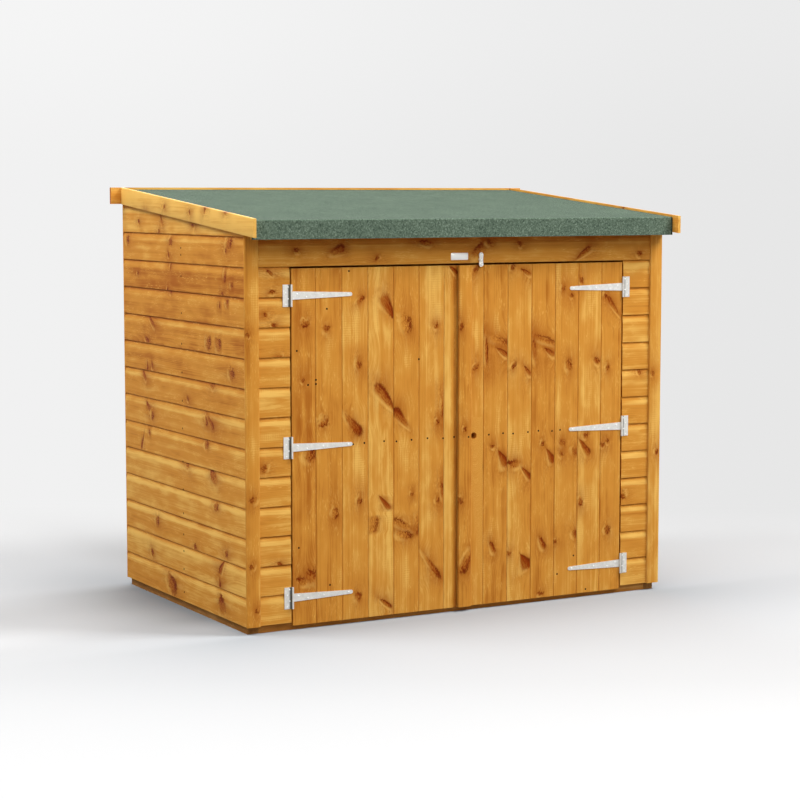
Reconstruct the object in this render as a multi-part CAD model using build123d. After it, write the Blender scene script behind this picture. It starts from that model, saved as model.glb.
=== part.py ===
from build123d import *
import math
import os

# Closed pent shelter for bicycles: shiplap walls on a framed floor, one
# sloping felted roof, and a pair of ledged and braced doors in the front.
# Millimetres. X runs along the front, +Y from the front to the back, +Z up.
# The origin is on the ground under the middle of the centre floor bearer.

# Walls and cladding
width = 1806.0                # over the side cladding
depth = 1128.0                # over the front and back cladding
board_pitch = 107.0           # cover of one shiplap board
cladding_t = 12.0
cove_h = 33.0                 # height of the scallop at a board's top
cove_d = 5.5                  # depth of the scallop under the lap
boards_to_eaves = 13.5        # front wall height in boards
boards_to_header = 12         # boards below the top of the doorway
ground_gap = 28.0             # cladding bottom above the ground
trim_w = 55.0                 # corner trims
trim_t = 8.0
trim_r = 4.0

# Floor
bearer_h = 44.0
bearer_w = 44.0
bearer_count = 5
floor_t = 12.0
floor_board = 100.0

# Framing timber
frame_w = 44.0                # across the face
frame_d = 28.0                # through the wall
back_rail_w = 70.0
side_studs = 3
back_studs = 4
purlin_count = 2
purlin_h = 44.0
purlin_w = 28.0

# Roof
roof_pitch = 5.14             # degrees, falling to the front
deck_t = 11.0
felt_t = 3.0
felt_drop = 69.0              # felt turned down over the front edge
felt_fold_r = 5.0
deck_overhang = 69.0          # deck beyond the front cladding
edge_board_t = 12.0           # bargeboards and fascias
barge_w = 66.5                # measured plumb
barge_proud = 8.0             # bargeboard top above the felt
barge_reach = 36.0            # bargeboard beyond the felt drop
back_fascia_w = 65.0
back_fascia_reach = 43.0      # beyond each bargeboard
front_fascia_w = 54.0

# Doors
doorway_w = 1446.0
door_side_gap = 6.0
door_top_gap = 6.0
meeting_gap = 6.0
door_ground_gap = 18.0
door_t = 12.0
door_clearance = 5.0          # between a moving piece and what it faces
door_board = 107.0
closing_board = 83.5          # narrower board at the meeting line
groove_w = 5.0
groove_d = 2.5
ledge_w = 44.0
ledge_t = 28.0
ledge_inset = 22.0            # ledge ends from the leaf's edges
strip_w = 54.0                # cover strip over the meeting line
strip_t = 12.0
strip_r = 2.0
latch_hole_d = 25.0
latch_hole_x = 44.0

# Tee hinges
bottom_hinge_z = 120.0
middle_hinge_z = 665.0
top_hinge_z = 1210.0
hinge_sheet_t = 2.0
hinge_plate_w = 27.0
hinge_plate_h = 79.0
hinge_barrel_d = 9.0
hinge_pin_d = 5.0
hinge_pin_clearance = 0.05
hinge_axis_out = 5.0          # pin axis in front of the cladding face
knuckle_h = 30.0
knuckle_gap = 0.5
strap_length = 247.0          # from the pin to the tip
strap_root_w = 30.0
strap_tip_w = 14.0

# Turn button
button_x = 69.0
button_above_header = 14.0
button_length = 53.0
button_w = 18.0
button_waist = 15.0
button_t = 4.0
button_boss_d = 13.0
button_boss_t = 2.0
button_grip_d = 12.0
button_grip_top_d = 7.0
button_pin_d = 6.0
button_pin_clearance = 0.05
button_head_d = 10.0
button_head_t = 2.5
button_head_chamfer = 1.2
button_spacer_d = 16.0
button_play = 0.3

# Planes and levels worked out from the sizes above
side_x = width / 2
front_y = -depth / 2
back_y = depth / 2
inner_x = side_x - cladding_t
inner_front_y = front_y + cladding_t
inner_back_y = back_y - cladding_t
cladding_z = ground_gap
floor_z = bearer_h + floor_t
header_z = cladding_z + boards_to_header * board_pitch
eaves_z = cladding_z + boards_to_eaves * board_pitch
slope = math.tan(math.radians(roof_pitch))
plumb = 1 / math.cos(math.radians(roof_pitch))
deck_front_y = front_y - deck_overhang
felt_front_y = deck_front_y - felt_t
barge_front_y = felt_front_y - barge_reach
deck_back_y = back_y - edge_board_t
floor_front_y = front_y + door_t + door_clearance
doorway_x = doorway_w / 2
leaf_x = doorway_x - door_side_gap
leaf_top = header_z - door_top_gap
hinge_x = doorway_x - door_side_gap / 2
hinge_y = front_y - hinge_axis_out
hinge_levels = (bottom_hinge_z, middle_hinge_z, top_hinge_z)
button_z = header_z + button_above_header


def roof_z(y, above=0.0):
    """Level of a plane parallel to the roof, measured above the deck's underside."""
    return eaves_z + (y - front_y) * slope + above * plumb


barge_top = deck_t + felt_t + barge_proud
back_fascia_top = roof_z(deck_back_y, barge_top)
back_fascia_z = back_fascia_top - back_fascia_w


def block(x, y, z):
    """Sawn timber between two values on each axis."""
    size = Box(x[1] - x[0], y[1] - y[0], z[1] - z[0])
    return Pos((x[0] + x[1]) / 2, (y[0] + y[1]) / 2, (z[0] + z[1]) / 2) * size


def side_outline(points, x0, x1):
    """Solid between two X values with an outline drawn in Y and Z."""
    outline = Plane.YZ * make_face(Polyline(*points, close=True))
    return Pos(x0, 0, 0) * extrude(outline, amount=x1 - x0, dir=(1, 0, 0))


def under_roof(solid):
    """Cuts away whatever rises above the underside of the roof deck."""
    ends = (barge_front_y - width, back_y + width)
    far = roof_z(ends[1]) + width
    points = [(ends[0], roof_z(ends[0])), (ends[1], roof_z(ends[1])), (ends[1], far), (ends[0], far)]
    return solid - side_outline(points, -width, width)


def pieces(solids):
    """Separate solids that share one node."""
    return Compound(children=[solid.solid() for solid in solids])


def mirrored(solid):
    """The same piece on the other side of the building."""
    return mirror(solid, about=Plane.YZ)


def shiplap_panel(length, low, high):
    """Shiplap boards facing -Y, their backs on Y = 0, centred on X = 0."""
    radius = (cove_h ** 2 + cove_d ** 2) / (2 * cove_d)
    half_turn = math.asin(cove_h / radius) / 2
    face = -cladding_t
    lap = face + cove_d
    edges = []
    level = low
    count = math.ceil((high - low) / board_pitch - 1e-6)
    for board in range(count):
        top = level + board_pitch
        bend = (lap - radius * (1 - math.cos(half_turn)), top - radius * math.sin(half_turn))
        edges.append(Line((face, level), (face, top - cove_h)))
        edges.append(ThreePointArc((face, top - cove_h), bend, (lap, top)))
        if board < count - 1:
            edges.append(Line((lap, top), (face, top)))
        level = top
    edges.append(Polyline((lap, level), (0, level), (0, low), (face, low)))
    profile = Plane.YZ * make_face(Curve() + edges)
    panel = Pos(-length / 2, 0, 0) * extrude(profile, amount=length, dir=(1, 0, 0))
    return panel & block((-length, length), (-width, width), (low, high))


def matchboard(x0, x1, y0, y1, z0, z1, seams, cove=None):
    """Vertical boards joined edge to edge, with a V groove on the -Y face at each seam."""
    front = [(x0, y0)]
    for seam in seams:
        front.append((seam - groove_w / 2, y0))
        front.append((seam, y0 + groove_d))
        front.append((seam + groove_w / 2, y0))
    edges = [Polyline(*front, (x1 if cove is None else cove - cove_h, y0))]
    if cove is None:
        last = (x1, y0)
    else:
        radius = (cove_h ** 2 + cove_d ** 2) / (2 * cove_d)
        half_turn = math.asin(cove_h / radius) / 2
        bend = (cove - radius * math.sin(half_turn), y0 + cove_d - radius * (1 - math.cos(half_turn)))
        edges.append(ThreePointArc((cove - cove_h, y0), bend, (cove, y0 + cove_d)))
        last = (x1, y0 + cove_d)
        edges.append(Line((cove, y0 + cove_d), last))
    edges.append(Polyline(last, (x1, y1), (x0, y1), (x0, y0)))
    panel = extrude(make_face(Curve() + edges), amount=z1 - z0, dir=(0, 0, 1))
    return Pos(0, 0, z0) * panel


def spread(low, high, size, count):
    """Evenly spaced starts of like pieces that fill a run from end to end."""
    step = (high - low - size) / (count - 1)
    return [low + step * index for index in range(count)]


parts = {}

# Floor: bearers along the building, closed at both ends, under one deck
bearer_x = inner_x - bearer_w
parts["floor_bearers"] = pieces(
    block((-bearer_x, bearer_x), (y, y + bearer_w), (0, bearer_h))
    for y in spread(floor_front_y, inner_back_y, bearer_w, bearer_count)
)
end_bearer = block((bearer_x, inner_x), (floor_front_y, inner_back_y), (0, bearer_h))
parts["floor_end_bearers"] = pieces([end_bearer, mirrored(end_bearer)])

floor_seams = []
seam_x = -inner_x + floor_board
while seam_x < inner_x - groove_w:
    floor_seams.append(seam_x)
    seam_x += floor_board
floor_outline = [(-inner_x, floor_z)]
for seam_x in floor_seams:
    floor_outline.append((seam_x - groove_w / 2, floor_z))
    floor_outline.append((seam_x, floor_z - groove_d))
    floor_outline.append((seam_x + groove_w / 2, floor_z))
floor_outline += [(inner_x, floor_z), (inner_x, bearer_h), (-inner_x, bearer_h)]
floor_face = Plane.XZ * make_face(Polyline(*floor_outline, close=True))
floor_length = inner_back_y - floor_front_y
parts["floor_deck"] = Pos(0, floor_front_y, 0) * extrude(floor_face, amount=floor_length, dir=(0, 1, 0))

# Side walls: shiplap up to the roof deck, notched for the back fascia
side_panel = Rot(0, 0, 90) * shiplap_panel(depth, cladding_z, roof_z(back_y))
side_panel = under_roof(Pos(inner_x, 0, 0) * side_panel)
side_panel -= block((0, width), (deck_back_y, width), (back_fascia_z, 2 * back_fascia_top))
parts["right_wall_cladding"] = side_panel
parts["left_wall_cladding"] = mirrored(side_panel)

frame_x = inner_x - frame_d
rail_top = floor_z + frame_w
side_bottom_rail = block((frame_x, inner_x), (inner_front_y, inner_back_y), (floor_z, rail_top))
side_top_rail = side_outline(
    [
        (inner_front_y, roof_z(inner_front_y)),
        (inner_back_y, roof_z(inner_back_y)),
        (inner_back_y, roof_z(inner_back_y) - frame_w),
        (inner_front_y, roof_z(inner_front_y) - frame_w),
    ],
    frame_x,
    inner_x,
)
parts["right_wall_rails"] = pieces([side_bottom_rail, side_top_rail])
parts["left_wall_rails"] = pieces([mirrored(side_bottom_rail), mirrored(side_top_rail)])

side_stud_list = [
    side_outline(
        [
            (y, rail_top),
            (y + frame_w, rail_top),
            (y + frame_w, roof_z(y + frame_w) - frame_w),
            (y, roof_z(y) - frame_w),
        ],
        frame_x,
        inner_x,
    )
    for y in spread(inner_front_y, inner_back_y, frame_w, side_studs)
]
parts["right_wall_studs"] = pieces(side_stud_list)
parts["left_wall_studs"] = pieces(mirrored(stud) for stud in side_stud_list)

# Back wall: shiplap up to the fascia, between the side walls' cladding
back_panel = Rot(0, 0, 180) * shiplap_panel(2 * inner_x, cladding_z, back_fascia_z)
parts["back_wall_cladding"] = Pos(0, inner_back_y, 0) * back_panel

back_frame_y = inner_back_y - frame_d
back_rail_z = roof_z(back_frame_y) - back_rail_w
back_bottom_rail = block((-frame_x, frame_x), (back_frame_y, inner_back_y), (floor_z, rail_top))
back_top_rail = side_outline(
    [
        (back_frame_y, back_rail_z),
        (inner_back_y, back_rail_z),
        (inner_back_y, roof_z(inner_back_y)),
        (back_frame_y, roof_z(back_frame_y)),
    ],
    -frame_x,
    frame_x,
)
parts["back_wall_rails"] = pieces([back_bottom_rail, back_top_rail])
parts["back_wall_studs"] = pieces(
    block((x, x + frame_w), (back_frame_y, inner_back_y), (rail_top, back_rail_z))
    for x in spread(-frame_x, frame_x, frame_w, back_studs)
)

# Front wall: a header over the doorway and a strip of cladding at each side
front_frame_y = inner_front_y + frame_d
header = shiplap_panel(2 * inner_x, header_z, roof_z(inner_front_y))
parts["front_header_cladding"] = under_roof(Pos(0, inner_front_y, 0) * header)
strip_length = inner_x - doorway_x
side_strip = Pos(doorway_x + strip_length / 2, inner_front_y, 0) * shiplap_panel(
    strip_length, cladding_z, header_z
)
parts["front_right_cladding"] = side_strip
parts["front_left_cladding"] = mirrored(side_strip)

front_rail_z = roof_z(inner_front_y) - frame_w
front_top_rail = under_roof(
    block((-frame_x, frame_x), (inner_front_y, front_frame_y), (front_rail_z, eaves_z + frame_w))
)
lintel = block((-doorway_x, doorway_x), (inner_front_y, front_frame_y), (header_z, header_z + frame_w))
parts["front_top_rail"] = front_top_rail
parts["door_lintel"] = lintel
door_post = block(
    (doorway_x, doorway_x + frame_w), (inner_front_y, front_frame_y), (floor_z, front_rail_z)
)
corner_post = block(
    (frame_x - frame_w, frame_x), (inner_front_y, front_frame_y), (floor_z, front_rail_z)
)
parts["front_posts"] = pieces([door_post, corner_post, mirrored(door_post), mirrored(corner_post)])

# Corner trims, planted over the ends of the boards
front_trim = under_roof(
    block((side_x - trim_w, side_x), (front_y - trim_t, front_y), (cladding_z, eaves_z + trim_w))
)
front_trim_arris = front_trim.edges().filter_by(Axis.Z).group_by(Axis.Y)[0]
front_trim = fillet(front_trim_arris, trim_r)
parts["front_corner_trims"] = pieces([front_trim, mirrored(front_trim)])
back_trim = block((side_x - trim_w, side_x), (back_y, back_y + trim_t), (cladding_z, back_fascia_z))
back_trim = fillet(back_trim.edges().filter_by(Axis.Z).group_by(Axis.Y)[-1], trim_r)
parts["back_corner_trims"] = pieces([back_trim, mirrored(back_trim)])

# Roof: purlins between the side rails, deck, felt and edge boards
purlin_steps = spread(front_frame_y, back_frame_y, 0.0, purlin_count + 2)[1:-1]
parts["roof_purlins"] = pieces(
    side_outline(
        [
            (y - purlin_w / 2, roof_z(y - purlin_w / 2)),
            (y + purlin_w / 2, roof_z(y + purlin_w / 2)),
            (y + purlin_w / 2, roof_z(y) - purlin_h),
            (y - purlin_w / 2, roof_z(y) - purlin_h),
        ],
        -frame_x,
        frame_x,
    )
    for y in purlin_steps
)
parts["roof_deck"] = side_outline(
    [
        (deck_front_y, roof_z(deck_front_y)),
        (deck_back_y, roof_z(deck_back_y)),
        (deck_back_y, roof_z(deck_back_y, deck_t)),
        (deck_front_y, roof_z(deck_front_y, deck_t)),
    ],
    -side_x,
    side_x,
)

felt_top_z = roof_z(felt_front_y, deck_t + felt_t)
felt_bottom_z = felt_top_z - felt_drop
felt = side_outline(
    [
        (felt_front_y, felt_bottom_z),
        (deck_front_y, felt_bottom_z),
        (deck_front_y, roof_z(deck_front_y, deck_t)),
        (deck_back_y, roof_z(deck_back_y, deck_t)),
        (deck_back_y, roof_z(deck_back_y, deck_t + felt_t)),
        (felt_front_y, felt_top_z),
    ],
    -side_x,
    side_x,
)
felt_front_edges = felt.edges().filter_by(Axis.X).group_by(Axis.Y)[0]
parts["roof_felt"] = fillet(felt_front_edges.sort_by(Axis.Z)[-1], felt_fold_r)

front_fascia_y = deck_front_y + edge_board_t
front_fascia_z = roof_z(deck_front_y) - front_fascia_w
parts["front_fascia"] = side_outline(
    [
        (deck_front_y, front_fascia_z),
        (front_fascia_y, front_fascia_z),
        (front_fascia_y, roof_z(front_fascia_y)),
        (deck_front_y, roof_z(deck_front_y)),
    ],
    -side_x,
    side_x,
)
bargeboard = side_outline(
    [
        (barge_front_y, roof_z(barge_front_y, barge_top)),
        (deck_back_y, roof_z(deck_back_y, barge_top)),
        (deck_back_y, roof_z(deck_back_y, barge_top) - barge_w),
        (barge_front_y, roof_z(barge_front_y, barge_top) - barge_w),
    ],
    side_x,
    side_x + edge_board_t,
)
parts["right_bargeboard"] = bargeboard
parts["left_bargeboard"] = mirrored(bargeboard)
fascia_x = side_x + edge_board_t + back_fascia_reach
parts["back_fascia"] = block((-fascia_x, fascia_x), (deck_back_y, back_y), (back_fascia_z, back_fascia_top))

# Doors: grooved boards on three ledges with two braces, made for the right
leaf_inner_x = meeting_gap / 2
leaf_back_y = front_y + door_t
seam_list = []
seam_x = leaf_inner_x + closing_board
while seam_x < leaf_x - groove_w:
    seam_list.append(seam_x)
    seam_x += door_board
latch_hole = Pos(latch_hole_x, front_y, middle_hinge_z) * Rot(90, 0, 0) * Cylinder(
    latch_hole_d / 2, 4 * (door_t + ledge_t)
)
right_boards = matchboard(
    leaf_inner_x, leaf_x, front_y, leaf_back_y, door_ground_gap, leaf_top, seam_list
)
parts["right_door_boards"] = right_boards - latch_hole
parts["left_door_boards"] = matchboard(
    -leaf_x,
    -leaf_inner_x,
    front_y,
    leaf_back_y,
    door_ground_gap,
    leaf_top,
    [-seam for seam in reversed(seam_list)],
    cove=-strip_w / 2,
)

ledge_back_y = leaf_back_y + ledge_t
ledge_inner_x = leaf_inner_x + ledge_inset
ledge_outer_x = leaf_x - ledge_inset
ledges = [
    block(
        (ledge_inner_x, ledge_outer_x), (leaf_back_y, ledge_back_y), (z - ledge_w / 2, z + ledge_w / 2)
    )
    for z in hinge_levels
]
parts["left_door_ledges"] = pieces(mirrored(ledge) for ledge in ledges)
parts["right_door_ledges"] = pieces(ledge - latch_hole for ledge in ledges)


def brace(low_z, high_z):
    """Sloping brace from the hinge side at the bottom to the meeting side at the top."""
    rise = high_z - low_z
    run = ledge_outer_x - ledge_inner_x
    foot = ledge_w * math.hypot(rise, run) / rise
    points = [
        (ledge_outer_x, low_z),
        (ledge_outer_x - foot, low_z),
        (ledge_inner_x, high_z),
        (ledge_inner_x + foot, high_z),
    ]
    outline = Plane.XZ * make_face(Polyline(*points, close=True))
    return Pos(0, leaf_back_y, 0) * extrude(outline, amount=ledge_t, dir=(0, 1, 0))


braces = [
    brace(low + ledge_w / 2, high - ledge_w / 2) for low, high in zip(hinge_levels, hinge_levels[1:])
]
parts["right_door_braces"] = pieces(braces)
parts["left_door_braces"] = pieces(mirrored(item) for item in braces)

cover_strip = block((-strip_w / 2, strip_w / 2), (front_y - strip_t, front_y), (door_ground_gap, leaf_top))
strip_arris = cover_strip.edges().filter_by(Axis.Z).group_by(Axis.Y)[0]
parts["cover_strip"] = fillet(strip_arris, strip_r)


def barrel(diameter, low, high):
    """Upright cylinder on the right hinge axis."""
    height = high - low
    return Pos(hinge_x, hinge_y, (low + high) / 2) * Cylinder(diameter / 2, height)


def hinge_plate(level):
    """Fixed plate, its two outer knuckles and the pin through them."""
    low = level - hinge_plate_h / 2
    high = level + hinge_plate_h / 2
    middle = (level - knuckle_h / 2 - knuckle_gap, level + knuckle_h / 2 + knuckle_gap)
    outer_x = hinge_x + hinge_barrel_d / 2 + hinge_plate_w
    notch_x = hinge_x + hinge_barrel_d / 2 + knuckle_gap
    sheet = block((hinge_x, outer_x), (front_y - hinge_sheet_t, front_y), (low, high))
    sheet -= block((hinge_x - hinge_barrel_d, notch_x), (front_y - hinge_barrel_d, front_y), middle)
    knuckles = barrel(hinge_barrel_d, low, middle[0]) + barrel(hinge_barrel_d, middle[1], high)
    return sheet + knuckles + barrel(hinge_pin_d, low, high)


def hinge_strap(level):
    """Tapered strap with a round tip, rolled round the pin at its root."""
    root = strap_root_w / 2
    tip = strap_tip_w / 2
    tip_x = hinge_x - strap_length + tip
    outline = make_face(
        Curve()
        + [
            Polyline((tip_x, tip), (hinge_x, root), (hinge_x, -root), (tip_x, -tip)),
            ThreePointArc((tip_x, -tip), (tip_x - tip, 0), (tip_x, tip)),
        ]
    )
    sheet = Pos(0, front_y - hinge_sheet_t, level) * extrude(
        Plane.XZ * outline, amount=hinge_sheet_t, dir=(0, 1, 0)
    )
    strap = sheet + barrel(hinge_barrel_d, level - knuckle_h / 2, level + knuckle_h / 2)
    return strap - barrel(hinge_pin_d + 2 * hinge_pin_clearance, level - knuckle_h, level + knuckle_h)


plates = [hinge_plate(level) for level in hinge_levels]
straps = [hinge_strap(level) for level in hinge_levels]
parts["right_hinge_plates"] = pieces(plates)
parts["left_hinge_plates"] = pieces(mirrored(plate) for plate in plates)
parts["right_hinge_straps"] = pieces(straps)
parts["left_hinge_straps"] = pieces(mirrored(strap) for strap in straps)

# Turn button on a spacer and a domed screw over the doorway
button_back_y = front_y - door_clearance - button_play
button_face_y = button_back_y - button_t
button_front_y = button_face_y - button_boss_t
head_front_y = button_front_y - button_play - button_head_t


def on_button_axis(diameter, y_front, y_back):
    """Round piece on the turn button's screw."""
    centre = Pos(button_x, (y_front + y_back) / 2, button_z)
    return centre * Rot(90, 0, 0) * Cylinder(diameter / 2, y_back - y_front)


grip_z = (button_length - button_w) / 2
button_outline = Curve() + [
    ThreePointArc((button_w / 2, grip_z), (0, button_length / 2), (-button_w / 2, grip_z)),
    ThreePointArc((-button_w / 2, grip_z), (-button_waist / 2, 0), (-button_w / 2, -grip_z)),
    ThreePointArc((-button_w / 2, -grip_z), (0, -button_length / 2), (button_w / 2, -grip_z)),
    ThreePointArc((button_w / 2, -grip_z), (button_waist / 2, 0), (button_w / 2, grip_z)),
]
button_bar = extrude(Plane.XZ * make_face(button_outline), amount=button_t, dir=(0, 1, 0))
button = Pos(button_x, button_face_y, button_z) * button_bar
button += on_button_axis(button_boss_d, button_front_y, button_back_y)
for side in (-1, 1):
    grip_place = Pos(button_x, button_face_y - button_boss_t / 2, button_z + side * grip_z)
    button += grip_place * Rot(90, 0, 0) * Cone(button_grip_d / 2, button_grip_top_d / 2, button_boss_t)
button -= on_button_axis(button_pin_d + 2 * button_pin_clearance, head_front_y, front_y)
parts["turn_button"] = button

pivot = on_button_axis(button_spacer_d, front_y - door_clearance, front_y)
pivot += on_button_axis(button_pin_d, head_front_y, front_y)
head = on_button_axis(button_head_d, head_front_y, button_front_y - button_play)
head_rim = head.edges().group_by(Axis.Y)[0]
parts["turn_button_pivot"] = pivot + chamfer(head_rim, button_head_chamfer)

os.makedirs("parts", exist_ok=True)
for node, shape in parts.items():
    shape.label = node
    export_step(shape, f"parts/{node}.step")
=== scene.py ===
import math
import random

import bmesh
import bpy
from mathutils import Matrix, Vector


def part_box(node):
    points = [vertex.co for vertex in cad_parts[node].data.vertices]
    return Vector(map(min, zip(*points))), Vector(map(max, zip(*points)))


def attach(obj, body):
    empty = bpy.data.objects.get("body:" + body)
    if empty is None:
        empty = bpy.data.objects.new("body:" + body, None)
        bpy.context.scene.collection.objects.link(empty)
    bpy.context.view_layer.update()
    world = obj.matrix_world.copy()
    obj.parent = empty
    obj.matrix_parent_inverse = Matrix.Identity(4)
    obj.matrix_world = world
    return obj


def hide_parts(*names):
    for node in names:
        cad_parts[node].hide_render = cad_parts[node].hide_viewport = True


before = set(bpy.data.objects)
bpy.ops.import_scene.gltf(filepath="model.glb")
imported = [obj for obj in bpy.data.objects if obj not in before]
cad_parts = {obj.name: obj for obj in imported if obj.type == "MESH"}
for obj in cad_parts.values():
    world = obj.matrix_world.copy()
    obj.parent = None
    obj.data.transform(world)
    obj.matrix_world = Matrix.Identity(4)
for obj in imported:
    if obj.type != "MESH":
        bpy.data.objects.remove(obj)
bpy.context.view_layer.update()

# Timber finish.
# All the timber is softwood, planed or sawn, and dipped in a golden brown preservative
# that soaks in unevenly, so each board keeps its own tone, grain and knots.


def paint(red, green, blue):
    """Shader colour from the 0 to 255 values of a colour card."""
    values = [value / 255 for value in (red, green, blue)]
    linear = [((v + 0.055) / 1.055) ** 2.4 if v > 0.04045 else v / 12.92 for v in values]
    return (*linear, 1.0)


class Reading:
    """A number that varies over a surface. Arithmetic on it adds Math nodes to its tree."""

    def __init__(self, tree, socket):
        self.tree = tree
        self.socket = socket

    def math(self, operation, *others, clamp=False):
        node = self.tree.nodes.new("ShaderNodeMath")
        node.operation = operation
        node.use_clamp = clamp
        for socket, value in zip(node.inputs, (self, *others)):
            plug(self.tree, socket, value)
        return Reading(self.tree, node.outputs[0])

    def __add__(self, other):
        return self.math("ADD", other)

    def __sub__(self, other):
        return self.math("SUBTRACT", other)

    def __mul__(self, other):
        return self.math("MULTIPLY", other)

    def __truediv__(self, other):
        return self.math("DIVIDE", other)

    def __pow__(self, other):
        return self.math("POWER", other)

    def __neg__(self):
        return self.math("MULTIPLY", -1.0)

    def __abs__(self):
        return self.math("ABSOLUTE")

    def held(self):
        """The same number, held within 0 and 1."""
        return self.math("ADD", 0.0, clamp=True)

    def between(self, low, high):
        """0 at low and 1 at high, eased and held outside them."""
        node = self.tree.nodes.new("ShaderNodeMapRange")
        node.interpolation_type = "SMOOTHSTEP"
        for name, value in (("Value", self), ("From Min", low), ("From Max", high)):
            plug(self.tree, node.inputs[name], value)
        return Reading(self.tree, node.outputs["Result"])


def plug(tree, socket, value):
    """Links a socket or a reading to an input, or sets a plain value on it."""
    if isinstance(value, Reading):
        tree.links.new(value.socket, socket)
    elif isinstance(value, bpy.types.NodeSocket):
        tree.links.new(value, socket)
    else:
        socket.default_value = value


def parts_of(tree, vector):
    """The three readings that a vector or a colour holds."""
    split = tree.nodes.new("ShaderNodeSeparateXYZ")
    tree.links.new(vector, split.inputs[0])
    return [Reading(tree, socket) for socket in split.outputs]


def distance(x, y):
    """Reading of how far a point is, from its two offsets."""
    return (x * x + y * y).math("SQRT")


def noise_at(tree, place, scale, detail=2.0):
    """Even noise, of a number of grains to the metre."""
    noise = tree.nodes.new("ShaderNodeTexNoise")
    noise.inputs["Scale"].default_value = scale
    noise.inputs["Detail"].default_value = detail
    tree.links.new(place, noise.inputs["Vector"])
    return Reading(tree, noise.outputs["Fac"])


def stretched_noise(tree, along, across, depth, detail=2.0):
    """Noise read at a point that is already scaled along each way of the timber."""
    point = tree.nodes.new("ShaderNodeCombineXYZ")
    for socket, value in zip(point.inputs, (along, across, depth)):
        plug(tree, socket, value)
    return noise_at(tree, point.outputs[0], 1.0, detail)


def blended(tree, amount, first, second):
    """Colour that goes from the first to the second as the amount goes from 0 to 1."""
    node = tree.nodes.new("ShaderNodeMix")
    node.data_type = "RGBA"
    for name, value in (("Factor", amount), ("A", first), ("B", second)):
        plug(tree, node.inputs[name], value)
    return node.outputs["Result"]


def draws_from(tree, seed):
    """Three numbers from 0 to 1 that only depend on the seed."""
    chance = tree.nodes.new("ShaderNodeTexWhiteNoise")
    chance.noise_dimensions = "1D"
    plug(tree, chance.inputs["W"], seed)
    return parts_of(tree, chance.outputs["Color"])


KNOT_NAMES = ("knot_a", "knot_b", "knot_c")
KNOT_PARTS = {
    # attribute of each face, and the three measures of a knot that it holds
    "_place": ("along", "across", "slant"),
    "_size": ("half_length", "half_width", "taper"),
    "_look": ("room", "fill", "stain"),
}


def read_knot(tree, name, along, across, wobble, fleck):
    """Measures of one knot, whose place and size each face of a board carries."""
    measures = []
    for suffix in KNOT_PARTS:
        source = tree.nodes.new("ShaderNodeAttribute")
        source.attribute_name = name + suffix
        measures += parts_of(tree, source.outputs["Vector"])
    centre_along, centre_across, slant, half_length, half_width, taper, room, fill, stain = measures
    present = half_length.math("GREATER_THAN", 0.0)
    core = half_length.between(0.020, 0.010)
    half_length = half_length + 1e-4
    half_width = half_width + 1e-4
    lean, vigour, spread = draws_from(tree, centre_along * 977.0 + centre_across * 331.0)
    ragged = (abs(taper) * -1.1 + 1.1).math("MAXIMUM", 0.25)
    ripple_along = wobble * (half_width * 1.6 + 0.004) * ragged
    ripple_across = (fleck - 0.5) * (half_width * 0.9 + 0.003) * ragged

    step_along = along - centre_along
    step_across = across - centre_across
    fade = abs(step_along).between(room, room * 0.45) * present
    cosine = slant.math("COSINE")
    sine = slant.math("SINE")
    lengthwise = step_along * cosine + step_across * sine + ripple_along
    sideways = step_across * cosine - step_along * sine + ripple_across
    end = (lengthwise / half_length).math("MINIMUM", 1.0).math("MAXIMUM", -1.0)
    width_here = half_width * (taper * end + 1.0).math("MAXIMUM", 0.12)
    off_axis = sideways / width_here
    bluntness = abs(taper) * 3.0 + 2.0
    reach = (abs(lengthwise) / half_length) ** bluntness + off_axis * off_axis
    reach = reach.math("SQRT") + ((fleck - 0.5) * 0.6 + wobble * 0.5) * ragged
    turn = lean * 2.4 - 1.2
    facing = off_axis.math("MINIMUM", 1.3).math("MAXIMUM", -1.3) * turn.math("COSINE")
    facing = facing + end * turn.math("SINE")

    spread_along = abs(half_length * cosine) + abs(half_width * sine)
    spread_across = abs(half_length * sine) + abs(half_width * cosine)
    near = (step_along / (spread_along * 2.4 + 0.010)) ** 2.0
    near = near + (step_across / (spread_across * 1.6 + 0.004)) ** 2.0
    outside = (reach - 0.8).math("MAXIMUM", 0.0) * half_width
    along_too = abs(step_along)
    along_too = along_too / (abs(step_across) + along_too + 1e-4)
    halo = (outside / (along_too * -0.022 - 0.004 - spread * 0.009)).math("EXPONENT") * fade * stain
    return {
        "fade": fade,
        "reach": reach,
        "facing": facing,
        "bulge": (-near).math("EXPONENT") * fade,
        "step": step_across,
        "figure": stretched_noise(tree, lengthwise * 34.0, sideways * 260.0, centre_along * 50.0, 1.0),
        "fill": fill,
        "halo": halo,
        "core": core * (vigour * 0.5 + 0.5),
        "vigour": vigour,
        "ragged": ragged,
    }


CUTTER_PITCH = 0.0085


def wood_colors(*cards):
    """Colours of a timber: its pale streaks, its body, its deep streaks and its knots."""
    return {name: paint(*card) for name, card in zip(("Pale", "Body", "Deep", "Knot"), cards)}


STAIN = wood_colors((235, 185, 94), (209, 141, 54), (170, 95, 26), (140, 52, 0))


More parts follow.
